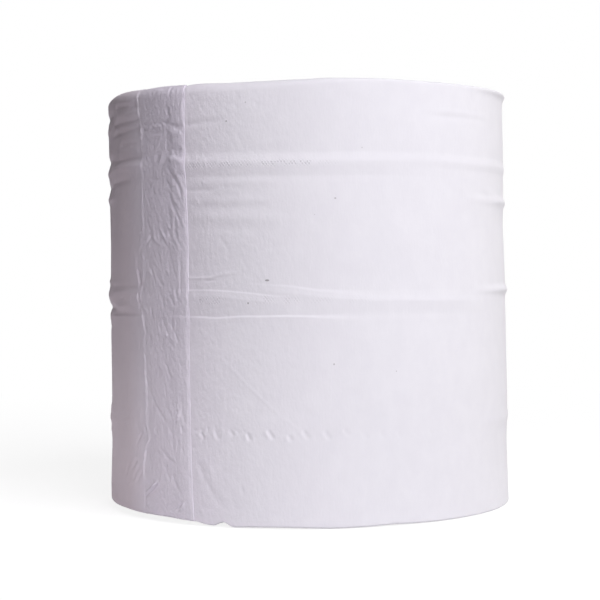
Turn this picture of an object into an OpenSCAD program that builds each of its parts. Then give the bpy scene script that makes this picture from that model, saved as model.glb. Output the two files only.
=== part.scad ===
// Centre-feed paper towel roll: one long web wound on a cardboard core.
// The last turn is a spiral made of two half turns on shifted centres, so the web
// ends in a real step. Behind that step lie a loose tab and the sunken glue strip
// that holds the end down. Bonded lines run round the web where its plies are joined.

/* [Roll] */
// Diameter over the outer turns
roll_d = 192; // [130:1:260]
// Height of the roll, which is the width of the web
roll_h = 195; // [160:1:300]
// Radius of the soft upper rim
rim_top_r = 4; // [1:0.5:10]
// Radius of the lower rim
rim_bottom_r = 1.5; // [1:0.5:10]

/* [Core] */
// Outer diameter of the cardboard core
core_d = 60; // [38:1:80]
// Wall of the cardboard core
core_wall = 1.5; // [1:0.1:3]
// How far the core's ends sit inside the roll's
core_recess = 1; // [0.5:0.5:4]
// Radial gap between the core and the first turn
core_fit = 0.2; // [0.1:0.05:0.5]

/* [Tail] */
// Angle from the front of the roll round to the end of the web
tail_side = 33.4; // [0:0.1:120]
// Height of the step at the end of the web
tail_step = 0.9; // [0.3:0.1:2]
// Width of the loose tab behind the end
tab_w = 11.4; // [4:0.1:30]
// Width of the glue strip behind the tab
strip_w = 17.8; // [6:0.1:40]
// Depth that the glue strip is pulled in
strip_sink = 0.5; // [0.2:0.1:1]
// Pleats that the glue draws into the strip
pleat_count = 4; // [0:1:8]
// How far each pleat stands out of the strip
pleat_proud = 0.3; // [0.1:0.05:0.4]

/* [Bonded lines] */
// Height from the middle of the roll to the upper and the lower line
bond_pitch = 58.5; // [30:0.5:62]
// Width of the flat middle band
band_w = 10; // [4:0.5:20]
// Width of the upper and the lower line
bond_w = 2.5; // [1:0.1:6]
// Depth of the bonded lines below the wall
bond_sink = 0.4; // [0.1:0.05:1]
// How far the paper swells out beside them
swell_proud = 0.5; // [0.1:0.05:1]
// Radius of that swell
swell_r = 24; // [10:1:60]

/* [Hidden] */
$fn = 120;
outer_r = roll_d / 2;
wall_r = outer_r - swell_proud;
bore_r = core_d / 2 + core_fit;
middle_z = roll_h / 2;
tail_a = -90 - tail_side;
pleat_r = 1.4;
// A half turn's centre is shifted by this much, and its radius shrinks to match
turn_shift = tail_step / 4;
// Bonded lines as [height, width]
BONDS = [[middle_z - bond_pitch, bond_w], [middle_z, band_w], [middle_z + bond_pitch, bond_w]];

// Angle that a width takes up round the outside of the roll
function arc_a(width) = width / wall_r * 180 / PI;

// Half section of the roll from its axis out to radius r, with soft rims
module rimmed_wall(r) {
    translate([0, rim_bottom_r])
        square([r, roll_h - rim_bottom_r - rim_top_r]);
    square([r - rim_bottom_r, roll_h / 2]);
    translate([r - rim_bottom_r, rim_bottom_r])
        circle(r = rim_bottom_r);
    translate([0, roll_h / 2])
        square([r - rim_top_r, roll_h / 2]);
    translate([r - rim_top_r, roll_h - rim_top_r])
        circle(r = rim_top_r);
}

// The two swells that flank a bonded line, each a thin cap of a large circle
module swells(r, bond) {
    for (side = [-1, 1])
        translate([r, bond[0] + side * bond[1]])
            intersection() {
                translate([swell_proud - swell_r, 0])
                    circle(r = swell_r);
                translate([-bond_sink, -swell_r])
                    square([bond_sink + 2 * swell_proud, 2 * swell_r]);
            }
}

// The flat bottom of a bonded line
module bond_groove(r, bond) {
    translate([r - bond_sink, bond[0] - bond[1] / 2])
        square([bond_sink + 2 * swell_proud, bond[1]]);
}

// Half section of one turn whose wall is at radius r
module turn_section(r) {
    difference() {
        union() {
            rimmed_wall(r);
            for (bond = BONDS)
                swells(r, bond);
        }
        for (bond = BONDS)
            bond_groove(r, bond);
    }
}

// Both half turns; the first is the lower one, just past the end of the web
module spiral_turn() {
    translate([-turn_shift, 0, 0])
        rotate_extrude(angle = 180)
            turn_section(wall_r - 3 * turn_shift);
    translate([turn_shift, 0, 0])
        rotate([0, 0, 180])
            rotate_extrude(angle = 180)
                turn_section(wall_r - turn_shift);
}

// What the glue strip takes off the second half turn
module strip_cut() {
    strip_r = wall_r - turn_shift - strip_sink;
    translate([turn_shift, 0, 0])
        rotate([0, 0, -arc_a(tab_w + strip_w)])
            rotate_extrude(angle = arc_a(strip_w))
                translate([strip_r, -1])
                    square([strip_sink + 2 * swell_proud, roll_h + 2]);
}

// Upright pleats, spread evenly over the glue strip
module pleats() {
    pleat_h = roll_h - rim_bottom_r - rim_top_r;
    pleat_x = wall_r - turn_shift - strip_sink + pleat_proud - pleat_r;
    for (i = [1 : 1 : pleat_count])
        translate([turn_shift, 0, rim_bottom_r])
            rotate([0, 0, -arc_a(tab_w + strip_w * i / (pleat_count + 1))])
                translate([pleat_x, 0, 0])
                    cylinder(r = pleat_r, h = pleat_h);
}

// All the turns of the web as one solid, open at the middle for the core
module paper_roll() {
    color("white")
        difference() {
            rotate([0, 0, tail_a]) {
                difference() {
                    spiral_turn();
                    strip_cut();
                }
                pleats();
            }
            translate([0, 0, -1])
                cylinder(r = bore_r, h = roll_h + 2);
        }
}

// Plain cardboard tube, cut square at both ends
module core_tube() {
    color("tan")
        translate([0, 0, core_recess])
            difference() {
                cylinder(d = core_d, h = roll_h - 2 * core_recess);
                translate([0, 0, -1])
                    cylinder(d = core_d - 2 * core_wall, h = roll_h + 2);
            }
}

paper_roll();
core_tube();
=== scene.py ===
"""Looks of the paper towel roll: the last two sheets of the web, the wound turns and the core.

Places on the web are given unrolled, in millimetres: u runs round the roll from the middle of its
front (positive to the right, negative to the left) and z is the height. Relief is in millimetres
too, positive outwards. Meshes are made in metres, in the frame of the CAD model.
"""

import math

import bpy
import numpy as np
from mathutils import Matrix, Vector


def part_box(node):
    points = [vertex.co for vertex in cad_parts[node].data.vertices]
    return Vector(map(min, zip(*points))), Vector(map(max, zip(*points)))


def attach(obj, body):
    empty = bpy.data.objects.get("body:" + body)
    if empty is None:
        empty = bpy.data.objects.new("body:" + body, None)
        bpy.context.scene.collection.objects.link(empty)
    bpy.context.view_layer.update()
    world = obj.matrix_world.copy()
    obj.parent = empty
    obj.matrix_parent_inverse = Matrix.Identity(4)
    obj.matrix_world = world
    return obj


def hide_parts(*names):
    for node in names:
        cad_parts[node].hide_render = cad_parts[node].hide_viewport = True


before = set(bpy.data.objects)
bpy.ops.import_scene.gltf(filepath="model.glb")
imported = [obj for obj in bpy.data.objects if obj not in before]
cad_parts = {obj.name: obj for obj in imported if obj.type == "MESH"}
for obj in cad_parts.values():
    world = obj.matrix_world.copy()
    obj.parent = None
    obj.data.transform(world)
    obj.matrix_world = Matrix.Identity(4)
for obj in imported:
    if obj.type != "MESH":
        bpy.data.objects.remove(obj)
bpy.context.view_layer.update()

MM = 0.001
TURN = 2 * math.pi


# ---- sizes, from the CAD frame

roll_low, roll_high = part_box("paper_roll")
core_low, core_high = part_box("core_tube")
ROLL_R = max(-roll_low.x, roll_high.x, -roll_low.y, roll_high.y) / MM
ROLL_H = roll_high.z / MM
CORE_R = core_high.x / MM
CORE_Z = (core_low.z / MM, core_high.z / MM)
CORE_WALL = 1.5
CORE_FIT = 0.2        # gap between the core and the first turn
BORE_R = CORE_R + CORE_FIT
CIRCUM = TURN * ROLL_R

STEP = 0.9            # how much the last turn's radius falls over one turn
TAIL_U = -56.3        # where the web ends
SHEET = 370           # length of the last sheet
TUCK = 22             # how far the next sheet reaches under the tail
JOIN_U = TAIL_U - SHEET
MIDDLE_Z = ROLL_H / 2
EDGE_REACH = 14       # how far up or down the web its pushed-in edges are felt
LEAN_FROM = 177       # height where the web starts to lean in below its upper edge
LEAN_OVER = 17
INNER_DEPTH = 1.8     # how far a sheet's inner face lies under its outer one
COVER_RISE = 1.15     # how much shallower it lies where one sheet covers the other
INNER_EVERY = 12      # one row of the inner face to so many of the outer
END_GAP = 0.15        # how far the wound turns' ends stop inside the sheets' rims


# ---- helpers for relief

def smooth(x, low, high):
    """0 below low, 1 above high, eased between."""
    t = np.clip((x - low) / (high - low), 0, 1)
    return t * t * (3 - 2 * t)


def bell(x, width):
    return np.exp(-(x / width) ** 2)


def along(z, points):
    """Value of a line given by a few (z, value) points, softened by a smoothing pass."""
    zs, vs = zip(*points)
    return sum(np.interp(z + dz, zs, vs) for dz in (-2, -1, 0, 1, 2)) / 5


def soft_noise(u, z, round_cells, z_cell, seed):
    """Smooth noise from -1 to 1 that closes on itself round the roll."""
    rows = int(ROLL_H / z_cell) + 4
    table = np.random.default_rng(seed).uniform(-1, 1, (round_cells, rows))
    x = (u / CIRCUM * round_cells) % round_cells
    y = np.clip(z / z_cell + 1, 0, rows - 2.001)
    i, j = np.floor(x).astype(int), np.floor(y).astype(int)
    fx, fy = x - i, y - j
    fx, fy = fx * fx * (3 - 2 * fx), fy * fy * (3 - 2 * fy)
    i0, i1 = i % round_cells, (i + 1) % round_cells
    low = table[i0, j] * (1 - fx) + table[i1, j] * fx
    high = table[i0, j + 1] * (1 - fx) + table[i1, j + 1] * fx
    return low * (1 - fy) + high * fy


def crease(field, u, z, ends, width, height, bow=0.0, fade=0.3):
    """Adds one crease to the field; ends are u, z, u, z of its two ends, bow bends it sideways."""
    u0, z0, u1, z1 = ends
    reach = 3.5 * width + abs(bow)
    near = (u > min(u0, u1) - reach) & (u < max(u0, u1) + reach)
    near &= (z > min(z0, z1) - reach) & (z < max(z0, z1) + reach)
    if not near.any():
        return
    run_u, run_z = u1 - u0, z1 - z0
    length = math.hypot(run_u, run_z)
    du, dz = u[near] - u0, z[near] - z0
    s = (du * run_u + dz * run_z) / length ** 2
    side = (du * run_z - dz * run_u) / length - bow * 4 * s * (1 - s)
    faded = smooth(s, 0, fade) * smooth(1 - s, 0, fade)
    field[near] += height * faded * bell(side, width)


def scatter(field, u, z, seed, count, u_range, z_range, length, lean, width, height):
    """Adds random creases; lean is (mean, spread) in degrees from upright, positive to the right."""
    rng = np.random.default_rng(seed)
    for _ in range(count):
        cu, cz = rng.uniform(*u_range), rng.uniform(*z_range)
        half = rng.uniform(*length) / 2
        turn = math.radians(rng.normal(*lean))
        du, dz = half * math.sin(turn), half * math.cos(turn)
        bow = rng.normal(0, 0.12) * half
        size = rng.uniform(*height) * rng.choice((-1, 1))
        wide = rng.uniform(*width)
        crease(field, u, z, (cu - du, cz - dz, cu + du, cz + dz), wide, size, bow, 0.4)


# ---- the web's relief

# The shoulder where the last sheet drops into the glue strip, and the end of the web
SHOULDER = [(0, -86.2), (17, -86), (25, -86.5), (33, -84.4), (38, -80.4), (41, -83.8), (54, -83.3),
            (87, -84.4), (95, -86.6), (103, -86.8), (113, -84), (121, -85.3), (135, -84), (175, -84.8),
            (187, -87.3), (195, -88)]
TAIL_LINE = [(0, 1.9), (20, 1.1), (40, 0.7), (90, 0.7), (132, 0.7), (158, -0.6), (175, -0.9), (191, -1),
             (195, -3.6)]
GROOVE = [(0, -64), (45, -63), (105, -62.4), (122, -63.2), (134, -62), (148, -64.5), (159, -67.3),
          (170, -66.5), (182, -64.8), (195, -65.5)]
SHOULDER_DROP = [(0, 0.16), (14, 0.2), (28, 0.36), (50, 0.28), (80, 0.26), (98, 0.3), (128, 0.2),
                 (150, 0.12), (168, 0.22), (178, 0.36), (188, 0.36), (195, 0.28)]
# Leaves where the shoulder splits in two: lowest z, highest z, how far the second line swings out
LEAVES = [(103, 124, 5.8), (95.5, 103.5, 2.6)]
LOWER_LINE_Z = 40.8
DENTS = 73            # along the lower line, over one turn

# The bonded lines, as (place round the front, z): the upper one, and the two edges of the middle
# band. The band's upper edge is two creases that overlap: one dies away where the other starts.
# The ends of each list lie at the back and agree, so that the lines close.
UPPER_LINE = [(-300, 158.2), (-150, 160.2), (-60, 160.2), (-35, 159.4), (-8, 159.2), (10, 159.3),
              (40, 158.9), (90, 158.2)]
BAND_LOW = [(-300, 91.4), (-150, 92.1), (-60, 92.1), (-49, 91.9), (-42, 91.4), (-30, 92.2), (-8, 92.3),
            (12, 91.7), (90, 91.4)]
BAND_HIGH = [(-300, 100.8), (-150, 103.6), (-60, 103.6), (-46, 103.7), (-36, 103.1), (-25, 102.1),
             (-14, 100.8), (90, 100.8)]
BAND_NEXT = [(-300, 100.6), (-150, 107.4), (-60, 107.4), (-26, 106.4), (-8, 105.1), (4, 103.2),
             (14, 102.4), (30, 101.2), (90, 100.6)]
UPPER_SHAPE = [(-9, 0), (-6.6, -0.08), (-2.2, 0.58), (-0.4, 0.66), (3.4, -0.12), (8, 0)]
RIGHT_SHAPE = [(-6, 0), (-2.4, -0.05), (0.2, 0.5), (1.2, 0.55), (4.2, -0.08), (8, 0)]


def fall_at(u):
    """Position round the roll folded to one turn, centred on the front."""
    return (u + CIRCUM / 2) % CIRCUM - CIRCUM / 2


def outline(d, points):
    """A profile given by a few (offset, height) points, with softened corners."""
    ds, hs = zip(*points)
    return sum(np.interp(d + k, ds, hs) for k in (-0.5, -0.25, 0, 0.25, 0.5)) / 5


def upper_line(side, z):
    """The upper bonded line: a crown with a long lower slope, narrower on the right."""
    right = smooth(side, 20, 80) * (1 - smooth(side, 170, 240))
    d = z - along(side, UPPER_LINE)
    return (1 - right) * outline(d, UPPER_SHAPE) + right * outline(d, RIGHT_SHAPE)


def band(z, low, high, low_step, high_step, dip=1.0):
    """Between two levels the web slopes out, from a dip at the lower one to a crown at the upper."""
    inside = np.clip((z - low) / (high - 3 - low), 0, 1)
    ramp = -0.28 * dip + (0.46 + 0.28 * dip) * inside - 0.22 * smooth(z - high, -3.4, -0.3)
    under = 0.26 * dip * np.exp(-np.maximum(low - z, 0) / 5)
    over = -0.06 * np.exp(-np.maximum(z - high, 0) / 4)
    above_low = smooth((z - low) / low_step, -0.5, 0.5)
    above_high = smooth((z - high) / high_step, -0.5, 0.5)
    return (under * (1 - above_low) + ramp * above_low) * (1 - above_high) + over * above_high


def bonded_lines(u, z):
    """The bonded lines that run round the whole web, plain at the tail and softer away from it."""
    flat = u * 0
    side = fall_at(u)
    round_back = smooth(-side, 160, 290)
    drift = 0.3 * soft_noise(u, flat, 14, 50, 31) + 0.12 * soft_noise(u, flat, 90, 50, 33)
    rear = smooth(np.abs(side), 130, 200)
    strong = np.maximum(smooth(-side, -70, 20) * (1 - round_back), 0.5 * rear)
    field = (0.55 + 0.45 * strong) * upper_line(side, z - drift)
    low, high, other = (along(side, line) + 0.4 * drift for line in (BAND_LOW, BAND_HIGH, BAND_NEXT))
    soft = np.maximum(smooth(side, -10, 55), round_back) * (1 - 0.5 * rear)
    softer = np.maximum(smooth(side, -6, 34), round_back) * (1 - 0.5 * rear)
    handed = np.maximum(smooth(side, -32, 0), round_back)
    size = 1 - 0.45 * smooth(np.abs(side), 45, 110) + 0.3 * rear
    field += size * (1 - handed) * band(z, low, high, 0.75, 0.75)
    field += size * handed * band(z, low, other, 0.75 + 4.6 * softer, 1.1 + 3.6 * soft, 1 - 0.5 * softer)
    wave = 0.6 + 0.4 * soft_noise(u, flat, 40, 50, 32)
    field -= 0.08 * wave * bell(z - LOWER_LINE_Z - drift, 3)
    return field


def bond_dents(field, u, z):
    """Slanted dents along the lower line, strongest beside the tail and fading round the roll."""
    rng = np.random.default_rng(41)
    pitch = CIRCUM / DENTS
    for k in range(-51, DENTS - 51):
        cu = TAIL_U + 5.5 + pitch * k + rng.normal(0, 0.9)
        cz = LOWER_LINE_Z + rng.normal(0, 0.6)
        far = min(abs(cu + 25) / 110, 1)
        deep = (0.44 - 0.36 * far) * rng.uniform(0.6, 1.15)
        tall = rng.uniform(1.5, 2.5)
        lean = rng.uniform(0.6, 1.5)
        high, low = cz + tall, cz - tall
        crease(field, u, z, (cu - lean, high, cu + lean, low), 0.85, -deep, 0.3)
        crease(field, u, z, (cu - lean - 1.6, high, cu + lean - 1.5, low), 0.8, deep * 0.5, 0.2)
    scatter(field, u, z, 42, 34, (-56, -26), (39, 43), (2, 4.5), (-22, 16), (0.35, 0.5), (0.08, 0.2))


def loose_folds(field, u, z):
    """Short folds of the loose last sheet beside the shoulder."""
    grooves = [
        (-86, 187.4, -112, 187.6, 1.8, -0.55), (-84, 180.8, -118, 180.2, 1.3, -0.4),
        (-84, 177, -122, 175.4, 1.3, -0.5), (-84, 170.6, -106, 170.4, 1.3, -0.32),
        (-83, 163.6, -120, 162.6, 1.6, -0.55), (-94, 154.2, -120, 153.2, 1.7, -0.3),
        (-88, 105.6, -120, 105.6, 1.4, -0.3), (-90, 93.4, -120, 93.2, 1.5, -0.28)
    ]
    ridges = [(-84, 183.4, -112, 183.6, 1.6, 0.25), (-84, 172, -112, 171.2, 2.2, 0.2),
              (-86, 167.4, -112, 167.2, 2.4, 0.28), (-83, 160.2, -120, 160.2, 1.5, 0.5),
              (-94, 102.6, -124, 102.2, 1.7, 0.3), (-90, 96.6, -118, 96, 1.6, 0.25)]
    for *ends, width, height in grooves + ridges:
        crease(field, u, z, ends, width, height, 0, 0.12)
    for ends in ((-88.5, 25.6, -97.5, 15.4), (-86.6, 23, -94, 14), (-91, 28, -98.5, 20),
                 (-87, 40, -93, 32), (-99, 26, -105, 17)):
        crease(field, u, z, ends, 0.6, -0.42, 0.2)


# How far the web stands out at the two sides: a slow line through (z, offset), and the folds that
# cross it as (z, width, height)
LEFT_LINE = [(0, 0.7), (12, 0.7), (20, 0.35), (30, 0), (60, -0.2), (85, -0.1), (100, -0.1), (125, -0.5),
             (145, -0.3), (170, -0.15), (195, 0)]
LEFT_FOLDS = [(185, 2, -0.8), (179, 1.8, 0.3), (164.4, 2, -0.85), (159, 1.9, 0.65), (152.2, 2, -0.65),
              (146.6, 1.9, 0.7), (107.6, 1.3, 0.5), (101.4, 3.3, 1), (95.3, 1.6, -0.85), (91, 1.6, 0.25),
              (86, 1.6, -0.2), (42.3, 2.2, 0.8), (46.5, 2.8, 0.5), (37, 3, 0.4)]
RIGHT_LINE = [(0, 0.5), (6, 0.35), (13, 0.1), (20, -0.1), (30, -0.35), (36, -0.15), (50, 0.2), (66, 0),
              (84, -0.2), (95, -0.4), (108, -0.4), (132, -1.25), (150, -0.9), (165, -0.8), (190, -1.05),
              (195, -1.05)]
RIGHT_FOLDS = [(194, 1.7, 1.15), (143, 1.9, 0.95), (102, 1.9, 1.1), (41.7, 2.8, 0.55)]


def side_shape(z, line, folds):
    return along(z, line) + sum(height * bell(z - at, width) for at, width, height in folds)


def settle_sides(field, u, z):
    """Blends the relief into the plain shape of the roll's left and right sides."""
    side = fall_at(u)
    left = smooth(-side, 106, 134) * smooth(side, -215, -165)
    right = smooth(side, 74, 126) * (1 - smooth(side, 142, 232))
    upper = 0.75 * upper_line(side, z)
    return (field * (1 - left) * (1 - right) + left * side_shape(z, LEFT_LINE, LEFT_FOLDS)
            + right * (side_shape(z, RIGHT_LINE, RIGHT_FOLDS) + upper))


def tail_relief(field, u, z):
    """The shoulder, the puckered glue strip and the lifted tab at the end of the web."""
    level = u * 0
    shoulder = along(z, SHOULDER) + 0.3 * soft_noise(level, z, 8, 3, 51)
    second = shoulder.copy()
    for low, high, swing in LEAVES:
        inside = np.clip((z - low) / (high - low), 0, 1)
        second -= swing * np.sin(math.pi * inside) ** 0.8
    split = smooth(shoulder - second, 0.2, 1.2)
    drop = np.clip(along(z, SHOULDER_DROP) + 0.16 * soft_noise(level, z, 8, 7, 52), 0.05, 0.6)
    past = smooth(u, -84, -70)
    field += 0.45 * smooth(-(u - shoulder), 60, 0)
    field -= (drop * (1 - 0.3 * split)) * smooth(u - shoulder, -0.25, 0.35) * (1 - past)
    field -= (0.24 * split) * smooth(u - second, -0.25, 0.35) * (1 - past)
    field += 0.1 * bell(u - shoulder + 0.5, 0.5)

    groove = along(z, GROOVE) + 0.8 * soft_noise(level, z, 8, 5, 54)
    rough = np.clip(0.25 + 0.9 * soft_noise(level, z, 8, 6, 55), 0, 1)
    field -= 0.22 * rough * bell(u - groove, 0.55)
    field += 0.16 * rough * bell(u - groove + 1, 0.6)

    # The tab rises from the groove, then rolls over gently to a thin edge
    end = TAIL_U + along(z, TAIL_LINE)
    lift = 0.16 + 0.14 * smooth(z, 96, 112) + 0.08 * soft_noise(level, z, 8, 22, 56)
    head = smooth(z, 184, 193)
    lift = lift * (1 - 0.7 * head)
    plain = (1 - 0.6 * head) * (0.45 + 0.55 * smooth(z, 2, 24))
    back = u - end
    field += lift * smooth(back, -10.6, -6.2)
    field -= plain * (0.12 + 0.5 * lift) * np.clip(1 + back / 5.6, 0, 1) ** 2
    field -= plain * 0.24 * smooth(back / (1.2 + 0.5 * smooth(-z, -110, -60)), -1, 0)


def tail_creases(field, u, z):
    """Creases of the glue strip and the tab: the plain ones listed, the fine ones at random."""
    by_hand = [
        (-66.9, 159, -57, 145, 0.9, -0.62), (-65.2, 160, -57.2, 149.8, 0.8, 0.34),
        (-67.1, 150, -62.2, 137.4, 0.7, -0.5), (-64.9, 144, -57.8, 131.6, 0.7, -0.5),
        (-65.9, 143.6, -59.6, 132.4, 0.7, 0.28), (-62.6, 139, -61.8, 124, 0.7, -0.42),
        (-63.8, 138, -63, 125, 0.7, 0.24), (-66.9, 167, -64.2, 161.6, 0.8, -0.5),
        (-67.2, 163, -57, 160.2, 1.3, 0.62), (-67.2, 166.8, -57.2, 165.2, 1.2, -0.3),
        (-67, 176.8, -57, 175.4, 1.2, -0.55), (-67, 173.4, -57.4, 172.6, 1.4, 0.45),
        (-59.3, 121, -59.5, 99, 0.45, -0.26), (-80.9, 57.9, -67.6, 43, 0.5, -0.36),
        (-80, 58.2, -67.2, 44.4, 0.5, 0.22), (-86.4, 9.8, -74.6, 17.6, 0.5, -1.45),
        (-85.8, 11.4, -75.4, 18.8, 0.5, 1.4), (-64.4, 5, -60, 10.6, 0.5, -0.9),
        (-63.4, 4.6, -59, 10.2, 0.5, 0.8), (-62.9, 45, -61.4, 51.4, 0.5, 0.8),
        (-64.2, 44.8, -62.6, 51.2, 0.5, -0.6), (-82.2, 138, -75.6, 124.6, 0.55, -0.36),
        (-81.2, 138.4, -75, 126.2, 0.5, 0.2), (-83.2, 122.8, -76.6, 130, 0.55, -0.42),
        (-82, 122.4, -76, 128.6, 0.5, 0.25), (-80.4, 131.5, -71, 122.6, 0.6, 0.3),
        (-81.4, 130.4, -72.4, 121.6, 0.6, -0.3), (-74.8, 133.5, -66.2, 121, 0.6, -0.36),
        (-73.6, 133.8, -65.8, 123, 0.6, 0.24), (-89.1, 114.6, -86.4, 104.8, 0.55, -0.75),
        (-90.2, 113.6, -88.2, 105.4, 0.55, 0.5), (-89.2, 103.5, -89.4, 98.2, 0.5, 0.42),
        (-88.2, 103.4, -88.5, 97.8, 0.5, -0.5), (-87.2, 103.2, -87.6, 98.4, 0.5, 0.34),
        (-98.3, 103, -90.4, 102.2, 0.6, 0.34), (-79.4, 173.6, -67.6, 174.4, 0.45, -0.34),
        (-79, 172.2, -69, 172.8, 0.45, 0.2), (-66.8, 185.5, -64.6, 178, 0.8, -0.45),
        (-68, 104.5, -62.4, 95.6, 0.6, -0.36), (-72, 92.5, -67.2, 83.6, 0.55, -0.36),
        (-66.4, 90.8, -60.6, 79, 0.6, -0.36), (-79.5, 96.5, -77, 88.4, 0.6, -0.36),
        (-71.4, 102.4, -69.6, 94.6, 0.6, -0.42), (-60.7, 57.5, -57.7, 42.4, 0.5, -0.24),
        (-73, 32, -62.6, 25.6, 0.6, -0.3), (-72, 28, -67.8, 19.2, 0.55, -0.32),
        (-66, 22.4, -62.4, 14.2, 0.55, -0.32), (-80, 116, -75, 106, 0.6, -0.34),
        (-76, 112, -69, 103.5, 0.6, -0.3), (-84, 66, -80.6, 58, 0.6, -0.26),
        (-70.6, 74, -64.6, 62, 0.6, -0.28), (-65.5, 119, -61.8, 108, 0.6, -0.3),
        (-80.6, 154.6, -70.4, 152.6, 0.6, -0.26)
    ]
    for *ends, width, height in by_hand:
        gentle = 0.65 if 0.62 < width < 1.1 else 0.9
        crease(field, u, z, ends, width, gentle * height, 0.3)
    # Scallops where the glue gathers the paper
    for k in range(5):
        cu = -81.8 + 3.4 * k
        crease(field, u, z, (cu - 2.1, 179.4, cu + 2.1, 179.2), 0.5, -0.34, 1.5)
        crease(field, u, z, (cu - 1.6, 177.8, cu + 1.6, 177.6), 0.7, 0.28, 1.2)
    strip = (-85, -65)
    for fine in (
        (61, 300, strip, (3, 187), (2, 6), (-20, 30), (0.34, 0.5), (0.05, 0.15)),
        (62, 180, strip, (76, 140), (2, 7), (-26, 24), (0.34, 0.5), (0.08, 0.18)),
        (68, 100, strip, (140, 186), (1.5, 4), (-80, 80), (0.34, 0.5), (0.08, 0.18)),
        (69, 60, (-68, -58), (95, 186), (2, 6), (-40, 20), (0.34, 0.5), (0.06, 0.16)),
        (63, 110, (-67, -58), (3, 184), (3, 9), (-16, 18), (0.34, 0.5), (0.04, 0.12)),
        (67, 40, (-67, -58), (120, 160), (4, 12), (-30, 12), (0.4, 0.6), (0.08, 0.2)),
        (64, 80, (-91, -84), (4, 186), (2.5, 7), (-14, 26), (0.4, 0.6), (0.06, 0.2)),
        (65, 90, (-106, -87), (4, 190), (3, 10), (-22, 34), (0.5, 0.9), (0.05, 0.16)),
        (66, 70, strip, (4, 76), (3, 9), (-18, 24), (0.36, 0.6), (0.05, 0.14))
    ):
        scatter(field, u, z, *fine)


def front_creases(field, u, z):
    """Creases on the front, right of the end of the web."""
    lines = [
        (-60, 108.9, -40, 109.1, 0.5, 0.3, 0.2), (-45, 109.2, -31, 111.1, 0.5, 0.24, -0.2),
        (-48, 107.6, -41, 107.8, 0.5, -0.22, 0), (-60, 150.9, -10, 150.2, 1.8, 0.18, 0.3),
        (-60, 147.6, -40, 147, 0.9, -0.26, 0.2), (-60, 143.2, -12, 142.4, 1.6, 0.16, 0.4),
        (-60, 140.2, -12, 139.4, 1.7, -0.16, 0.4), (-60, 135, -4, 133.8, 2.3, 0.22, -0.4),
        (-60, 130.2, -10, 129.2, 2.2, -0.12, -0.4), (-60, 176.3, -36, 177.6, 1.2, -0.3, 0.3),
        (-60, 185.4, -30, 185, 4, -0.1, 0.3), (52, 181.6, 108, 181.2, 1.2, 0.16, 0.2),
        (52, 179.2, 106, 178.8, 1.2, -0.12, 0.2), (92, 148.6, 132, 143.6, 1.5, 0.3, 0.4),
        (88, 145.4, 132, 140.6, 1.7, -0.22, 0.4), (-54, 32, -40, 8, 1.4, -0.2, 0.8),
        (-50, 33, -34, 9, 1.6, 0.16, 0.8), (-46, 26, -30, 6, 1.6, -0.12, 0.6),
        (-39.4, 127.4, -36.6, 122.8, 0.5, -0.16, 0.4), (-37.2, 124.6, -34.6, 120.2, 0.5, -0.16, 0.4),
        (-36.6, 126.6, -35.4, 124, 0.5, 0.12, 0.2), (-31, 19.5, -29.5, 14.5, 0.6, -0.2, 0),
        (-38.4, 179, -36.8, 176.6, 0.45, -0.15, 0.3), (-53.5, 103.2, -52, 98.6, 0.5, 0.1, 0.2),
        (-33, 109.6, -33.6, 104.2, 0.5, -0.08, 0)
    ]
    for *ends, width, height, bow in lines:
        crease(field, u, z, ends, width, height, bow, 0.25)
    # One long faint scratch that curls down to the right, plainest in the middle
    scratch = [(-49.4, 86.5, 0.05), (-46, 81, 0.07), (-41.9, 76.4, 0.1), (-34.8, 69.6, 0.17),
               (-27.8, 62.8, 0.2), (-20.8, 56.2, 0.14), (-13.4, 49.6, 0.07), (-5, 43, 0)]
    for start, end in zip(scratch, scratch[1:]):
        crease(field, u, z, start[:2] + end[:2], 0.4, start[2], 0, 0.02)
    for fine in (
        (71, 120, (-57, -22), (5, 192), (2, 6), (-20, 60), (0.4, 0.6), (0.02, 0.06)),
        (72, 110, (-57, -16), (106, 192), (2, 6), (-40, 60), (0.4, 0.6), (0.03, 0.08)),
        (75, 80, (-57, -46), (4, 192), (2, 6), (-15, 30), (0.4, 0.6), (0.04, 0.12)),
        (73, 50, (-26, 60), (5, 190), (6, 18), (85, 30), (1.2, 2.4), (0.02, 0.05)),
        (74, 30, (60, 120), (5, 190), (8, 30), (88, 12), (1.5, 3), (0.04, 0.1))
    ):
        scatter(field, u, z, *fine)


def back_creases(field, u, z):
    """Plain soft folds on the side that faces away."""
    scatter(field, u, z, 81, 60, (-385, -175), (8, 188), (20, 60), (90, 7), (2.5, 4.5), (0.12, 0.4))
    scatter(field, u, z, 82, 60, (-400, -160), (8, 188), (8, 26), (84, 30), (2.6, 4), (0.08, 0.22))


def undulation(u, z):
    """Soft unevenness of the wound web, with its upper edge flared a little behind the tail."""
    near = smooth(-u, -10, 50) * smooth(u, -125, -90)
    field = u * 0
    for size, *noise in ((0.28, 9, 34, 11), (0.05, 14, 9, 12), (0.006 + 0.012 * near, 60, 7, 13),
                         (0.024 * (0.2 + near), 150, 3.5, 14), (0.03 * (0.2 + near), 300, 2, 15)):
        field += size * soft_noise(u, z, *noise)
    size = 0.45 * smooth(-u, 54, 70) + 0.4 * smooth(-u, 84, 96)
    flare = smooth(z, 174, 191) * size * smooth(u, -150, -110)
    return field + flare


def last_relief(u, z):
    """Relief of the last sheet; the glue has flattened the bonded lines on the strip and the tab."""
    field = undulation(u, z)
    glued = smooth(u, -88, -80)
    field += bonded_lines(u, z) * (1 - 0.55 * glued * (1 - smooth(u, -69, -66))
                                   - 0.4 * glued * (1 - smooth(z, 110, 130)))
    loose_folds(field, u, z)
    bond_dents(field, u, z)
    back_creases(field, u, z)
    tail_relief(field, u, z)
    tail_creases(field, u, z)
    under_tail = smooth(u, -104, -96)
    return np.maximum(settle_sides(field, u, z), -1.45 + 0.9 * under_tail)


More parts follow.
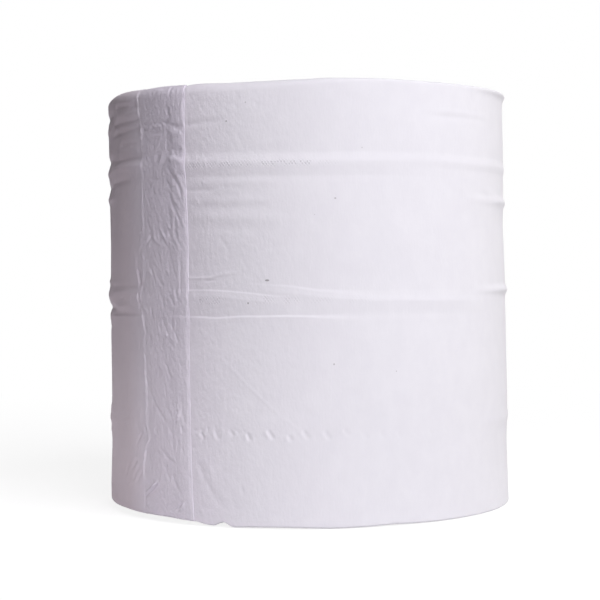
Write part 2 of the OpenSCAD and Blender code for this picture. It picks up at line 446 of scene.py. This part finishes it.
def next_relief(u, z):
    """Relief of the next sheet; it lies lower where the last one covers it."""
    field = undulation(u, z) + bonded_lines(u, z)
    bond_dents(field, u, z)
    front_creases(field, u, z)
    hidden = 1 - smooth(u, TAIL_U - 4, TAIL_U - 1)
    return np.maximum(settle_sides(field, u, z), -1.4) * (1 - hidden) - 0.45 * hidden


# ---- the web's path and rims

def turn_radius(u):
    """The outer turn's radius: it falls as the web runs back, and meets itself at the far joint."""
    back = TAIL_U - u
    return ROLL_R - STEP * back / CIRCUM + STEP * smooth(back, 150, 360)


def rim_radii(u):
    """Radii of the upper and lower rim: softer on the left, crisper on the right."""
    side = fall_at(u)
    left = smooth(-side, 50, 120) * smooth(side, -250, -160)
    crisp = smooth(side, -15, 45) * (1 - smooth(side, 170, 260))
    top = 3.8 + 1.3 * bell(side + 92, 26) + 1.2 * bell(side + 40, 30) - 2.4 * crisp
    return top, 1.1 + 2.3 * left


# How far the edges of the web have been pushed in, as (place round the front, amount): the lower
# edge is soft on the left and has a nick in it, the upper one waves a little
FOOT = [
    (-230, 0), (-190, 0.6), (-150, 1.4), (-125, 1.85), (-110, 2.25), (-95, 2.25), (-80, 2.35), (-70, 2.5),
    (-62, 2.2), (-56, 2), (-52, 1.5), (-50, 0.9), (-48, 0.6), (-42.4, 0.5), (-40.8, 2.6), (-39, 3),
    (-38, 1.8), (-36.5, 0.1), (-34, 0.2), (-31, 0.4), (-19, 0.75), (-10, 0.8), (-1, 0.55), (8, 0.3),
    (17, 0.3), (27, 0.45), (36, 0.85), (46, 0.5), (57, 0.25), (75, 0.1), (120, 0.1), (160, 0)
]
HEAD = [
    (-170, 0), (-130, 0.2), (-110, 0.4), (-100, 0.55), (-93, 0.85), (-83, 0.65), (-74, 0.65), (-67, 0.9),
    (-60, 0.9), (-53, 0.4), (-38, 1), (-19, 1), (-10, 0.87), (-1, 0.7), (8, 0.3), (17, 0.4), (27, 0.4),
    (36, 0.52), (46, 0.75), (57, 0.92), (70, 0.9), (84, 0.78), (104, 0.35), (125, 0)
]
# How far the web leans in below its upper edge, either side of its end
LEAN = [(-90, 0), (-75, 0.3), (-62, 0.9), (-52, 1.3), (-30, 1.5), (-19, 1.3), (-8, 0.8), (15, 0.2),
        (40, 0)]


def pushed(u, line):
    return along(fall_at(u), line)


def graded(start, *zones):
    """Positions from a start through zones of (end, spacing)."""
    parts = []
    for end, gap in zones:
        parts.append(np.linspace(start, end, round((end - start) / gap), endpoint=False))
        start = end
    return np.concatenate(parts + [[start]])


# How far the upper and the lower rim turn in, and the rows of each
RIM_TOP_TURN = math.radians(80)
RIM_LOW_TURN = math.radians(84)
RIM_ROWS = 10


def web_grid(columns, wall_rows):
    """For each column and row of a sheet: z, how far its rims fall in, and the outward normal."""
    top_r, low_r = rim_radii(columns)
    wall = wall_rows[None, :] / ROLL_H
    wall_z = low_r[:, None] + wall * (ROLL_H - low_r - top_r)[:, None]
    low_turn = -np.linspace(RIM_LOW_TURN, 0, RIM_ROWS, endpoint=False)
    top_turn = np.linspace(0, RIM_TOP_TURN, RIM_ROWS + 1)[1:]
    turns = np.concatenate([low_turn, wall_rows * 0, top_turn])[None, :] + 0 * columns[:, None]
    low_z = low_r[:, None] * (1 + np.sin(low_turn))[None, :]
    top_z = ROLL_H - top_r[:, None] * (1 - np.sin(top_turn))[None, :]
    z = np.hstack([low_z, wall_z, top_z])
    rim = np.where(turns < 0, low_r[:, None], top_r[:, None])
    fall = rim * (1 - np.cos(turns))
    return z, fall, np.cos(turns), np.sin(turns)


def to_space(u, radius, z):
    """Unrolled places to points in metres."""
    angle = u / ROLL_R
    points = np.stack([radius * np.sin(angle), -radius * np.cos(angle), z], axis=-1)
    return points * MM


SHARP = math.radians(60)


def put(name, data):
    """A new object in the scene."""
    thing = bpy.data.objects.new(name, data)
    bpy.context.scene.collection.objects.link(thing)
    return thing


def make_mesh(name, points, faces, material):
    mesh = bpy.data.meshes.new(name)
    mesh.from_pydata(points.tolist(), [], faces)
    mesh.validate()
    mesh.shade_smooth()
    mesh.set_sharp_from_angle(angle=SHARP)
    mesh.materials.append(material)
    return put(name, mesh)


def grid_faces(count_a, count_b, offset=0, flip=False, wrap=False):
    """Quads of a grid stored row by row; wrap joins the last a to the first."""
    last = count_a if wrap else count_a - 1
    a = np.arange(last)
    b = np.arange(count_b - 1)
    a0 = (a[:, None] * count_b + b[None, :]).ravel()
    a1 = (((a + 1) % count_a)[:, None] * count_b + b[None, :]).ravel()
    quads = np.stack([a0, a1, a1 + 1, a0 + 1], axis=1) + offset
    if flip:
        quads = quads[:, ::-1]
    return quads.tolist()


def ring_faces(count, rows):
    """Quads of a section of so many points, carried right round and closed on itself."""
    faces = grid_faces(count, rows, flip=True, wrap=True)
    for k in range(count):
        after = (k + 1) % count
        faces.append([k * rows, after * rows, after * rows + rows - 1, k * rows + rows - 1])
    return faces


def fan_side(outer, inner, flip):
    """Closes the gap between a fine run of vertices and a coarse one with the same ends."""
    faces = []
    ratio = (len(outer) - 1) / (len(inner) - 1)
    step = 0
    for k in range(len(outer) - 1):
        faces.append([outer[k], outer[k + 1], inner[step]])
        if k + 1 >= (step + 1) * ratio - ratio / 2 and step < len(inner) - 1:
            faces.append([outer[k + 1], inner[step + 1], inner[step]])
            step += 1
    while step < len(inner) - 1:
        faces.append([outer[-1], inner[step + 1], inner[step]])
        step += 1
    return [f[::-1] for f in faces] if flip else faces


def web_sheet(name, columns, wall_rows, relief, depth, material, end_line=None):
    """A closed thin sheet: a fine outer face with relief, and a coarse smooth inner face.

    columns run from left to right. depth(u) is how far the inner face lies under the turn's radius.
    """
    z, fall, out, up = web_grid(columns, wall_rows)
    u = columns[:, None] + 0 * z
    if end_line is not None:
        u = u + along(z, end_line) * smooth(u, TAIL_U - 16, TAIL_U)
    height = relief(u, z)
    radius = turn_radius(u) - fall - pushed(u, LEAN) * np.clip((z - LEAN_FROM) / LEAN_OVER, 0, 1) ** 2
    lift = pushed(u, FOOT) * np.clip(1 - z / EDGE_REACH, 0, 1) ** 2
    lift -= pushed(u, HEAD) * np.clip(1 - (ROLL_H - z) / EDGE_REACH, 0, 1) ** 2
    outer = to_space(u, radius + height * out, z + height * up * 0.6 + lift)
    count_a, count_b = z.shape

    rows = np.unique(np.concatenate([np.arange(0, count_b, INNER_EVERY), [count_b - 1]]))
    under = depth(u)[:, rows]
    inner = to_space(u[:, rows], radius[:, rows] - under * out[:, rows],
                     z[:, rows] - under * up[:, rows] + lift[:, rows])

    faces = grid_faces(count_a, count_b)
    base = count_a * count_b
    faces += grid_faces(count_a, len(rows), base, flip=True)
    outer_id = np.arange(base).reshape(count_a, count_b)
    inner_id = base + np.arange(count_a * len(rows)).reshape(count_a, len(rows))
    for k in range(count_a - 1):
        faces.append([outer_id[k + 1, 0], outer_id[k, 0], inner_id[k, 0], inner_id[k + 1, 0]])
        faces.append([outer_id[k, -1], outer_id[k + 1, -1], inner_id[k + 1, -1], inner_id[k, -1]])
    faces += fan_side(outer_id[0].tolist(), inner_id[0].tolist(), False)
    faces += fan_side(outer_id[-1].tolist(), inner_id[-1].tolist(), True)
    points = np.concatenate([outer.reshape(-1, 3), inner.reshape(-1, 3)])
    return make_mesh(name, points, [[int(i) for i in f] for f in faces], material)


# ---- materials

class Nodes:
    """Small helper that makes shader nodes and links them."""

    def __init__(self, name):
        self.material = bpy.data.materials.new(name)
        self.material.use_nodes = True
        self.tree = self.material.node_tree
        self.shader = self.tree.nodes["Principled BSDF"]
        self.place = self.tree.nodes.new("ShaderNodeTexCoord").outputs["Object"]

    def add(self, kind, **settings):
        node = self.tree.nodes.new(kind)
        for key, value in settings.items():
            setattr(node, key, value)
        return node

    def feed(self, socket, value):
        if isinstance(value, bpy.types.NodeSocket):
            self.tree.links.new(value, socket)
        else:
            socket.default_value = value

    def surface(self, name, value):
        self.feed(self.shader.inputs[name], value)

    def split(self):
        """Sockets for x, y and z of the place in the object."""
        node = self.add("ShaderNodeSeparateXYZ")
        self.feed(node.inputs[0], self.place)
        return node.outputs

    def math(self, operation, a, b=0.0):
        node = self.add("ShaderNodeMath", operation=operation)
        for socket, value in zip(node.inputs, (a, b)):
            self.feed(socket, value)
        return node.outputs[0]

    def plus(self, a, b):
        return self.math("ADD", a, b)

    def times(self, a, b):
        return self.math("MULTIPLY", a, b)

    def upright(self, scale):
        """The place with its height scaled, which makes a noise long and narrow."""
        node = self.add("ShaderNodeMapping")
        self.feed(node.inputs["Vector"], self.place)
        node.inputs["Scale"].default_value = (1, 1, scale)
        return node.outputs[0]

    def noise(self, place, scale, detail=2.0, rough=0.5, dimensions="3D"):
        node = self.add("ShaderNodeTexNoise", noise_dimensions=dimensions)
        self.feed(node.inputs["W" if dimensions == "1D" else "Vector"], place)
        for name, value in (("Scale", scale), ("Detail", detail), ("Roughness", rough)):
            node.inputs[name].default_value = value
        return node.outputs["Fac"]

    def ramp(self, value, low, high, to_low=0.0, to_high=1.0):
        node = self.add("ShaderNodeMapRange")
        for socket, v in zip(node.inputs, (value, low, high, to_low, to_high)):
            self.feed(socket, v)
        return node.outputs[0]

    def blend(self, factor, a, b, kind="MIX"):
        node = self.add("ShaderNodeMix", data_type="RGBA", blend_type=kind)
        self.feed(node.inputs[0], factor)
        self.feed(node.inputs[6], a)
        self.feed(node.inputs[7], b)
        return node.outputs[2]

    def tint(self, colour, where, by):
        """The colour multiplied by another one, as far as the factor says."""
        return self.blend(where, colour, (*by, 1), "MULTIPLY")

    def bump(self, height, distance, strength=1.0, normal=None):
        node = self.add("ShaderNodeBump")
        self.feed(node.inputs["Height"], height)
        node.inputs["Distance"].default_value = distance
        node.inputs["Strength"].default_value = strength
        if normal is not None:
            self.feed(node.inputs["Normal"], normal)
        return node.outputs[0]


TISSUE = (0.83, 0.82, 0.848, 1)
TISSUE_SHADE = (0.806, 0.795, 0.826, 1)
FLECK = (0.16, 0.14, 0.14, 1)
PRESSED = (0.45, 0.43, 0.47, 1)


def unrolled(n):
    """Sockets for u (metres round the front) and z."""
    x, y, z = n.split()
    angle = n.math("ARCTAN2", x, n.times(y, -1))
    return n.times(angle, ROLL_R * MM), z


def spot(n, u, z, at, half_width, half_height):
    """1 inside a small oval on the web, 0 outside."""
    du = n.math("DIVIDE", n.plus(u, -at[0] * MM), half_width * MM)
    dz = n.math("DIVIDE", n.plus(z, -at[1] * MM), half_height * MM)
    away = n.plus(n.times(du, du), n.times(dz, dz))
    return n.ramp(away, 1.3, 0.5)


def window(n, value, low, high, fade):
    """1 between two values, 0 outside, all in millimetres."""
    return n.times(n.ramp(value, (low - fade) * MM, (low + fade) * MM),
                   n.ramp(value, (high + fade) * MM, (high - fade) * MM))


LATTICE_TURNS = 430   # cells of the pressed lattice round the roll
LATTICE_CLIMB = 1.9   # height of one cell


def pressed_rows(n, u, z):
    """The lattice pressed along the two bonded lines: plain by the tail, patchy round the back."""
    # Whole turns round, so that it closes; a little wander keeps it from looking printed
    wander = n.times(n.noise(n.place, 200), 5)
    rounds = n.plus(n.times(u, TURN * LATTICE_TURNS / (CIRCUM * MM)), wander)
    climb = n.times(z, TURN / (LATTICE_CLIMB * MM))
    dots = n.plus(n.math("COSINE", n.plus(rounds, climb)),
                  n.math("COSINE", n.math("SUBTRACT", rounds, climb)))
    far = n.times(n.ramp(n.math("ABSOLUTE", u), 0.11, 0.14, 0, 0.6),
                  n.ramp(n.noise(n.upright(0.2), 55), 0.45, 0.6))
    upper, middle = far, far
    for low, high, size in ((-56, 2, 1), (2, 14, 0.35)):
        upper = n.math("MAXIMUM", upper, n.times(window(n, u, low, high, 2), size))
    for low, high, size in ((-50, -37, 0.9), (-26, -15, 0.6), (-11, -4, 0.5), (0, 12, 0.3),
                            (15, 30, 0.2)):
        middle = n.math("MAXIMUM", middle, n.times(window(n, u, low, high, 1.5), size))
    broken = n.ramp(n.noise(n.place, 560, 2, 0.6), 0.42, 0.56, 0.1, 1)
    rows = n.math("MAXIMUM", n.times(upper, window(n, z, 156.9, 159.5, 0.4)),
                  n.times(middle, window(n, z, 97.7, 100.8, 0.4)))
    return n.times(n.times(dots, rows), broken)


def tissue_material(name, loose):
    """Tissue, with a painted shade tint on the left; the last sheet also gets painted shade and painted
    light in patches.
    """
    n = Nodes(name)
    u, z = unrolled(n)
    mottle = n.noise(n.upright(0.7), 160, 4, 0.6)
    cloud = n.noise(n.place, 28, 3, 0.55)
    tone = n.plus(n.times(mottle, 0.6), n.times(cloud, 0.4))
    colour = n.blend(n.ramp(tone, 0.4, 0.64), TISSUE_SHADE, TISSUE)
    # Painted shade tint: a little more violet towards the shaded left, paler again round the back
    rear = n.ramp(u, -0.29, -0.18)
    colour = n.tint(colour, n.times(n.ramp(u, 0.03, -0.055), rear), (1, 0.982, 1))
    colour = n.tint(colour, n.times(n.ramp(u, -0.03, -0.075), rear), (1, 0.966, 1))
    if loose:
        # Painted shade tint: warmer on the left sheet, left of the shoulder
        colour = n.tint(colour, n.times(n.ramp(u, -0.084, -0.1), rear), (1.025, 0.985, 0.965))
        # Painted shade: darker over the glue strip and the left sheet beside it
        painted_left_shade = n.times(n.ramp(u, -0.076, -0.092), n.ramp(u, -0.138, -0.108))
        colour = n.tint(colour, painted_left_shade, (0.895, 0.895, 0.895))
        # Painted shade tint: a touch pinker over the left of the last sheet, above its lower part
        upper = n.times(n.times(n.ramp(u, -0.068, -0.092), n.ramp(z, 0.06, 0.12)), rear)
        colour = n.tint(colour, upper, (1.003, 0.988, 1))
        # Painted shade: darker over the tab and the glue strip, less so towards the bottom
        glued = n.times(window(n, u, -73.5, -40, 7.5), n.ramp(z, 0.03, 0.1, 0.35, 1))
        colour = n.tint(colour, glued, (0.915, 0.905, 0.925))
        # Painted shade: a little darker over the upper part of the strip and the tab
        head = n.times(window(n, u, -84.5, -50, 2.5), n.ramp(z, 0.116, 0.134))
        colour = n.tint(colour, head, (0.972, 0.968, 0.978))
        # Painted shade: darker in the upper left corner of the last sheet
        corner = n.times(window(n, u, -110, -90, 5), n.ramp(z, 0.168, 0.18))
        colour = n.tint(colour, corner, (0.935, 0.935, 0.935))
        # Painted light: lighter towards the bottom, beside the shoulder
        low = n.times(window(n, u, -96, -83.5, 3), n.ramp(z, 0.08, 0.04))
        colour = n.tint(colour, low, (1.06, 1.06, 1.06))
    else:
        # Painted light: lighter on the upper front, just right of the end of the web
        over = n.times(n.ramp(u, -0.006, -0.046), n.ramp(z, 0.134, 0.164))
        colour = n.tint(colour, over, (1.055, 1.055, 1.055))

    # Flecks in the paper: a few listed, the rest strewn
    flecks = n.add("ShaderNodeTexVoronoi", feature="F1")
    n.feed(flecks.inputs["Vector"], n.place)
    flecks.inputs["Scale"].default_value = 95
    picked = n.math("GREATER_THAN", n.noise(flecks.outputs["Position"], 900, 0), 0.735)
    dots = n.times(n.math("LESS_THAN", flecks.outputs["Distance"], 0.028), picked)
    marks = n.times(dots, 0.45)
    for *at, wide, tall, dark in (
        (-18, 107.6, 1, 0.42, 0.62), (-35.8, 176.7, 0.45, 0.4, 0.45), (-26.9, 184.5, 0.4, 0.35, 0.3),
        (11.8, 142.6, 0.45, 0.35, 0.45), (-26.5, 97.8, 0.45, 0.45, 0.5), (-49.5, 99.4, 0.35, 0.3, 0.4),
        (23.9, 164.4, 0.35, 0.3, 0.25), (10.6, 71.2, 0.4, 0.4, 0.4)
    ):
        marks = n.math("MAXIMUM", marks, n.times(spot(n, u, z, at, wide, tall), dark))
    colour = n.blend(marks, colour, FLECK)
    pressed = pressed_rows(n, u, z)
    colour = n.blend(n.times(n.ramp(pressed, 0.2, 1.4), 0.42), colour, PRESSED)
    n.surface("Base Color", colour)

    # Fine crepe: upright ribs, broken up, with fibres over them
    crepe = n.noise(n.upright(0.16), 1500, 2, 0.6)
    fibre = n.noise(n.upright(0.6), 900, 3, 0.7)
    fine = n.plus(n.times(crepe, 0.5), n.times(fibre, 0.5))
    # Small puckers: strong where the glue has gathered the paper, weaker beside it
    pucker = n.noise(n.upright(0.5), 620, 3, 0.62)
    if loose:
        left = n.times(n.ramp(z, 0.07, 0.03, 0.35, 0.9), n.ramp(u, -0.16, -0.13, 0.2, 1))
        strip = n.times(window(n, u, -86.5, -40, 2.5), 1.5)
        where = n.times(n.math("MAXIMUM", strip, left), n.ramp(u, 0, 0.02, 1, 0.1))
    else:
        where = n.times(n.ramp(u, 0.01, -0.05, 0.06, 1), n.ramp(u, -0.15, -0.13, 0.1, 1))
    normal = n.bump(fine, 0.0001, 0.75)
    normal = n.bump(n.times(pucker, where), 0.00034, 1, normal)
    normal = n.bump(pressed, 0.00006, 0.9, normal)
    n.surface("Normal", normal)
    n.surface("Roughness", n.ramp(mottle, 0.3, 0.7, 0.86, 0.97))
    n.surface("Specular IOR Level", 0.18)
    n.surface("Sheen Weight", 0.08)
    n.surface("Sheen Roughness", 0.5)
    return n.material


def layers_material():
    """The cut ends of the turns: fine rings, with painted shade in the darker bands where a gap opens."""
    n = Nodes("tissue_ends")
    x, y, _ = n.split()
    radius = n.math("SQRT", n.plus(n.times(x, x), n.times(y, y)))
    wander = n.times(n.plus(n.noise(n.place, 26), -0.5), 0.0016)
    ring = n.plus(radius, wander)
    fine = n.noise(ring, 2600, 2, 0.65, "1D")
    coarse = n.noise(ring, 420, 3, 0.65, "1D")
    fuzz = n.noise(n.place, 700, 3, 0.7)
    mixed = n.plus(n.times(fine, 0.55), n.times(coarse, 0.45))
    mixed = n.plus(mixed, n.times(n.plus(fuzz, -0.5), 0.35))
    # Painted shade: the darker bands stand for the gaps between the turns
    colour = n.blend(n.ramp(mixed, 0.33, 0.62), (0.66, 0.64, 0.67, 1), TISSUE)
    n.surface("Base Color", colour)
    normal = n.bump(mixed, 0.00035, 0.8)
    n.surface("Normal", normal)
    n.surface("Roughness", n.ramp(fuzz, 0.3, 0.7, 0.88, 0.98))
    n.surface("Specular IOR Level", 0.12)
    return n.material


def cardboard_material():
    n = Nodes("cardboard")
    fibre = n.noise(n.upright(0.35), 420, 4, 0.65)
    cloud = n.noise(n.place, 60, 3)
    tone = n.plus(n.times(fibre, 0.65), n.times(cloud, 0.35))
    colour = n.blend(n.ramp(tone, 0.35, 0.66), (0.3, 0.215, 0.14, 1), (0.5, 0.385, 0.27, 1))
    n.surface("Base Color", colour)
    n.surface("Normal", n.bump(fibre, 0.00012, 0.8))
    n.surface("Roughness", n.ramp(cloud, 0.3, 0.7, 0.78, 0.92))
    n.surface("Specular IOR Level", 0.25)
    return n.material


tissue = tissue_material("tissue", False)
loose_tissue = tissue_material("tissue_loose", True)
tissue_ends = layers_material()
cardboard = cardboard_material()


# ---- the pieces

def sheet_depth(u):
    """The inner face lies shallow where the last sheet covers the next one, deeper elsewhere."""
    return INNER_DEPTH - COVER_RISE * smooth(u, -100, -84)


LAST_COLUMNS = graded(JOIN_U, (-170, 4), (-118, 1.4), (-90, 0.8), (-58.2, 0.46), (TAIL_U, 0.27))
NEXT_COLUMNS = graded(TAIL_U - TUCK, (TAIL_U - 1, 3), (-18, 0.5), (20, 0.7), (90, 1), (150, 1.4),
                      (JOIN_U + CIRCUM, 2.5))
LAST_ROWS = graded(0, (ROLL_H, 0.5))
NEXT_ROWS = graded(0, (34, 0.9), (47, 0.5), (84, 0.8), (112, 0.36), (152, 0.7), (166, 0.45),
                   (ROLL_H, 0.75))

last_sheet = web_sheet("last_sheet", LAST_COLUMNS, LAST_ROWS, last_relief, sheet_depth, loose_tissue,
                       TAIL_LINE)
next_sheet = web_sheet("next_sheet", NEXT_COLUMNS, NEXT_ROWS, next_relief, lambda u: INNER_DEPTH + 0 * u,
                       tissue)


def wound_body():
    """All inner turns as one closed ring, with layered ends, tucked under the outer sheets."""
    count = 320
    u = np.arange(count) * CIRCUM / count
    top_r, low_r = rim_radii(u)
    last = turn_radius(TAIL_U - (TAIL_U - u) % CIRCUM)
    top_edge = last - top_r * (1 - math.cos(RIM_TOP_TURN)) - pushed(u, LEAN) - END_GAP
    low_edge = last - low_r * (1 - math.cos(RIM_LOW_TURN)) - END_GAP

    def end_face(edge, seed, rings):
        """Radii and how far the face sinks, from the bore out to the sheet's edge."""
        t = np.linspace(0, 1, rings)[None, :]
        r = BORE_R + (edge[:, None] - BORE_R) * t
        uu = u[:, None] + 0 * r
        swirl = r + 1.2 * soft_noise(uu, r, 7, 30, seed)
        level = uu * 0 + 1
        sink = 0.3 + 0.12 * soft_noise(level, swirl, 8, 0.9, seed + 1)
        sink += 0.16 * soft_noise(level, swirl, 8, 2.6, seed + 2)
        sink += 0.1 * soft_noise(uu, swirl, 40, 1.4, seed + 3)
        sink += 0.3 * soft_noise(uu, r, 5, 40, seed + 4) + 0.5 * bell(r - BORE_R, 5)
        return r, np.maximum(sink, 0.02)

    top_face, top_sink = end_face(top_edge, 91, 120)
    low_face, low_sink = end_face(low_edge, 95, 90)
    bore_z = np.linspace(3, ROLL_H - 3, 8)[None, :] + 0 * u[:, None]
    lift, drop = pushed(u, FOOT)[:, None], pushed(u, HEAD)[:, None]
    hidden_z = np.array([2.2, 9.5, ROLL_H - 12, ROLL_H - 2.2])[None, :] + 0 * u[:, None]
    hidden_z[:, :1] += lift
    hidden_z[:, -1:] -= drop
    hidden_r = np.stack([low_edge - 0.4, last - 2.6, last - 2.8, top_edge - 0.4], axis=1)
    top_z = ROLL_H - top_sink - drop * smooth(top_face, 74, 94)
    low_z = low_sink + lift * smooth(low_face, 74, 94)
    radius = np.hstack([bore_z * 0 + BORE_R, top_face, hidden_r[:, ::-1], low_face[:, ::-1]])
    height = np.hstack([bore_z, top_z, hidden_z[:, ::-1], low_z[:, ::-1]])
    points = to_space(u[:, None] + 0 * radius, radius, height)
    faces = ring_faces(count, radius.shape[1])
    return make_mesh("wound_turns", points.reshape(-1, 3), faces, tissue_ends)


def core_piece():
    """The cardboard tube, with the seam of its outer ply winding up it and rough cut ends."""
    count, levels = 240, 90
    u = np.arange(count) * CIRCUM / count
    seam_pitch = 88
    z = np.linspace(CORE_Z[0], CORE_Z[1], levels)[None, :] + 0 * u[:, None]
    phase = (z / seam_pitch - u[:, None] / CIRCUM) % 1
    seam = bell(np.minimum(phase, 1 - phase) * seam_pitch, 1)
    inner = CORE_R - CORE_WALL + 0.22 * seam + 0.05 * soft_noise(u[:, None] + 0 * z, z, 16, 12, 98)
    rough = 0.12 * soft_noise(u, u * 0 + 4, 90, 30, 99)
    inner_z = z.copy()
    inner_z[:, 0] += 0.1 + rough
    inner_z[:, -1] -= 0.1 + rough
    radius = np.hstack([inner, z * 0 + CORE_R])
    height = np.hstack([inner_z, z[:, ::-1]])
    points = to_space(u[:, None] + 0 * radius, radius, height)
    return make_mesh("core_board", points.reshape(-1, 3), ring_faces(count, 2 * levels), cardboard)


wound_turns = wound_body()
core_board = core_piece()

for piece in (last_sheet, next_sheet, wound_turns):
    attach(piece, "root")
    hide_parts("paper_roll")
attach(core_board, "root")
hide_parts("core_tube")


# ---- floor, light and camera

FLOOR_HALF = 6
SHADOW_REACH = 0.75
LAMPS_AWAY = 1.5
MIDDLE = (0, 0, MIDDLE_Z * MM)
WHITE = (1, 1, 1)


def seen_plainly(tree):
    """1 for rays from the camera, off glossy things and through clear ones; 0 for all others."""
    path = tree.nodes.new("ShaderNodeLightPath")
    seen = path.outputs["Is Camera Ray"]
    for kind in ("Is Glossy Ray", "Is Transmission Ray"):
        either = tree.nodes.new("ShaderNodeMath")
        either.operation = "MAXIMUM"
        tree.links.new(seen, either.inputs[0])
        tree.links.new(path.outputs[kind], either.inputs[1])
        seen = either.outputs[0]
    return seen


def coloured(tree, kind, colour, strength=None):
    """The output of a new shader node of one colour."""
    node = tree.nodes.new(kind)
    node.inputs["Color"].default_value = (*colour, 1)
    if strength is not None:
        node.inputs["Strength"].default_value = strength
    return node.outputs[0]


def combined(tree, kind, *parts):
    """The output of a new node that joins shaders, fed in order."""
    node = tree.nodes.new(kind)
    for socket, value in zip(node.inputs, parts):
        tree.links.new(value, socket)
    return node.outputs[0]


def floor_material():
    """White to the camera, with the roll's shadow kept near it; plain pale for everything else."""
    material = bpy.data.materials.new("floor")
    material.use_nodes = True
    tree = material.node_tree
    tree.nodes.clear()
    place = tree.nodes.new("ShaderNodeTexCoord")
    length = tree.nodes.new("ShaderNodeVectorMath")
    length.operation = "LENGTH"
    tree.links.new(place.outputs["Object"], length.inputs[0])
    far = tree.nodes.new("ShaderNodeMapRange")
    far.interpolation_type = "SMOOTHSTEP"
    far.inputs["From Min"].default_value = SHADOW_REACH * 0.35
    far.inputs["From Max"].default_value = SHADOW_REACH
    tree.links.new(length.outputs["Value"], far.inputs["Value"])

    near = combined(tree, "ShaderNodeAddShader",
                    coloured(tree, "ShaderNodeBsdfDiffuse", (0.22, 0.22, 0.22)),
                    coloured(tree, "ShaderNodeEmission", WHITE, 0.86))
    shown = combined(tree, "ShaderNodeMixShader", far.outputs[0], near,
                     coloured(tree, "ShaderNodeEmission", WHITE, 1))
    plain = coloured(tree, "ShaderNodeBsdfDiffuse", (0.8, 0.79, 0.8))
    surface = combined(tree, "ShaderNodeMixShader", seen_plainly(tree), plain, shown)
    tree.links.new(surface, tree.nodes.new("ShaderNodeOutputMaterial").inputs["Surface"])
    return material


def make_floor():
    mesh = bpy.data.meshes.new("floor")
    s = FLOOR_HALF
    mesh.from_pydata([(-s, -s, 0), (s, -s, 0), (s, s, 0), (-s, s, 0)], [], [(0, 1, 2, 3)])
    mesh.materials.append(floor_material())
    put("floor", mesh)


def make_world():
    """White to the camera; a dim pinkish light to everything else."""
    world = bpy.data.worlds.new("studio")
    bpy.context.scene.world = world
    world.use_nodes = True
    tree = world.node_tree
    tree.nodes.clear()
    dim = coloured(tree, "ShaderNodeBackground", (1, 0.9, 0.98), 0.01)
    white = coloured(tree, "ShaderNodeBackground", WHITE, 1)
    surface = combined(tree, "ShaderNodeMixShader", seen_plainly(tree), dim, white)
    tree.links.new(surface, tree.nodes.new("ShaderNodeOutputWorld").inputs["Surface"])


def turned(right, above, back, place):
    """The matrix of a thing at a place, given its own x, y and z axes."""
    turn = Matrix([[right[i], above[i], back[i]] for i in range(3)]).to_4x4()
    return Matrix.Translation(place) @ turn


def softbox(name, place, aim, size, power, colour):
    """An area lamp at a place, facing another; it lights the roll but is never seen itself."""
    light = bpy.data.lights.new(name, "AREA")
    light.shape = "RECTANGLE"
    light.size, light.size_y = size
    light.energy = power
    light.color = colour
    back = np.array(place) - np.array(aim)
    back /= np.linalg.norm(back)
    side = np.cross((0, 0, 1), back)
    side /= np.linalg.norm(side)
    above = np.cross(back, side)
    lamp = put(name, light)
    lamp.matrix_world = turned(side, above, back, place)
    lamp.visible_camera = False


def toward(azimuth, elevation):
    """A lamp's place around the roll; azimuth 0 is the front, positive to the right."""
    a, e = math.radians(azimuth), math.radians(elevation)
    return (LAMPS_AWAY * math.sin(a) * math.cos(e), -LAMPS_AWAY * math.cos(a) * math.cos(e),
            LAMPS_AWAY * math.sin(e) + MIDDLE_Z * MM)


make_floor()
make_world()
softbox("key", toward(30, 44), MIDDLE, (1, 1), 23.2, (0.972, 0.96, 1))
softbox("rim", toward(115, 8), MIDDLE, (0.8, 1), 5.5, (1, 0.99, 0.88))
softbox("back", toward(170, 10), MIDDLE, (0.3, 0.6), 6, (0.98, 0.97, 1))
# Two thin ones on the floor stand in for the light that a white table throws up at the lower edge
softbox("low_side", (-0.19, -0.04, 0.012), (-0.09, -0.02, 0), (0.25, 0.02), 0.0265, (1, 0.92, 0.94))
softbox("low_front", (-0.1, -0.19, 0.012), (-0.05, -0.08, 0), (0.25, 0.02), 0.0193, (0.95, 0.95, 1))


def make_camera():
    """Looks level at the middle of the roll from the front, turned and tipped very slightly."""
    distance, aside, eye = 785 * MM, -3.8 * MM, 109.8 * MM
    pitch, roll = math.radians(-0.897), math.radians(0.62)
    forward = np.array([0, math.cos(pitch), math.sin(pitch)])
    right = np.array([1.0, 0, 0])
    above = np.array([0, -math.sin(pitch), math.cos(pitch)])
    rolled_right = math.cos(roll) * right - math.sin(roll) * above
    rolled_above = math.sin(roll) * right + math.cos(roll) * above
    data = bpy.data.cameras.new("camera")
    data.lens, data.sensor_width = 96.28, 36
    camera = put("camera", data)
    camera.matrix_world = turned(rolled_right, rolled_above, -forward, (aside, -distance, eye))
    bpy.context.scene.camera = camera


make_camera()
bpy.context.scene.view_settings.view_transform = "Standard"
